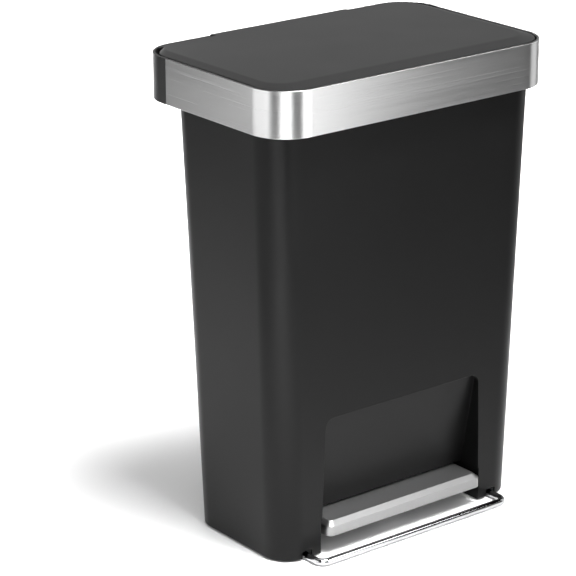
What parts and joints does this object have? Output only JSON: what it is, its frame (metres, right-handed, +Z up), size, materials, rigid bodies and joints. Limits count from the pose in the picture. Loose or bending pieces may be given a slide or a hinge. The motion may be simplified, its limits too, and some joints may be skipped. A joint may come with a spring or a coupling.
{
  "type": "pedal trash can",
  "caption": "Tapered black pedal bin with a steel-faced collar, an inset lid on a rear hinge, a wide foot pedal in a front recess and a round-bar floor loop.",
  "frame": {"origin": "on the floor, under the centre of the footprint, which runs from the floor loop's front to the collar's back", "axes": "+Z up, the pedal faces -Y, X runs along the width"},
  "size_m": [0.464, 0.303, 0.653],
  "materials": {
    "body_plastic": "fine-grained satin moulding",
    "collar_plastic": "satin moulding",
    "lid_plastic": "fine-grained satin moulding",
    "brushed_steel": "brushed along the length",
    "bright_bar": "polished round bar",
    "zinc_steel": "zinc plated",
    "ground_steel": "ground bar",
    "nylon": "natural nylon",
    "rubber": "matt rubber"
  },
  "bodies": {
    "body": {"body_shell": "body_plastic", "rear_cover": "body_plastic", "cover_screws": "zinc_steel", "feet": "rubber", "floor_loop": "bright_bar", "loop_clips": "collar_plastic", "axle_brackets": "zinc_steel", "pedal_axle": "ground_steel", "rod_guides": "nylon", "damper_cylinder": "collar_plastic", "rim_hinge_pins": "ground_steel"},
    "rim": {"rim_frame": "collar_plastic", "steel_band": "brushed_steel", "lid_buffers": "rubber", "lid_hinge_pins": "ground_steel"},
    "lid": {"lid_panel": "lid_plastic", "lid_inner": "lid_plastic", "lid_crank": "zinc_steel", "crank_screws": "zinc_steel"},
    "push_rod": {"push_rod": "ground_steel", "rod_head": "nylon", "rod_foot": "nylon", "rod_yoke": "nylon", "damper_piston": "ground_steel"},
    "pedal": {"pedal_tread": "brushed_steel", "pedal_frame": "collar_plastic", "pedal_arm": "zinc_steel", "pedal_bush": "nylon", "pedal_screws": "zinc_steel"}
  },
  "joints": [
    {"name": "rim_hinge", "type": "hinge", "parent": "body", "child": "rim", "pos_m": [0, 0.14, 0.581], "axis": [-1, 0, 0], "range_deg": [0, 80]},
    {"name": "lid_hinge", "type": "hinge", "parent": "rim", "child": "lid", "pos_m": [0, 0.1415, 0.646], "axis": [-1, 0, 0], "range_deg": [0, 75]},
    {"name": "rod_slide", "type": "slide", "parent": "body", "child": "push_rod", "axis": [0, 0, 1], "range_m": [0, 0.027]},
    {"name": "pedal_hinge", "type": "hinge", "parent": "body", "child": "pedal", "pos_m": [0, -0.018, 0.024], "axis": [1, 0, 0], "range_deg": [0, 11.1]}
  ],
  "couplings": [
    {"joint": "rod_slide", "follows": "lid_hinge", "m_per_rad": 0.02046},
    {"joint": "pedal_hinge", "follows": "lid_hinge", "ratio": 0.14669}
  ]
}
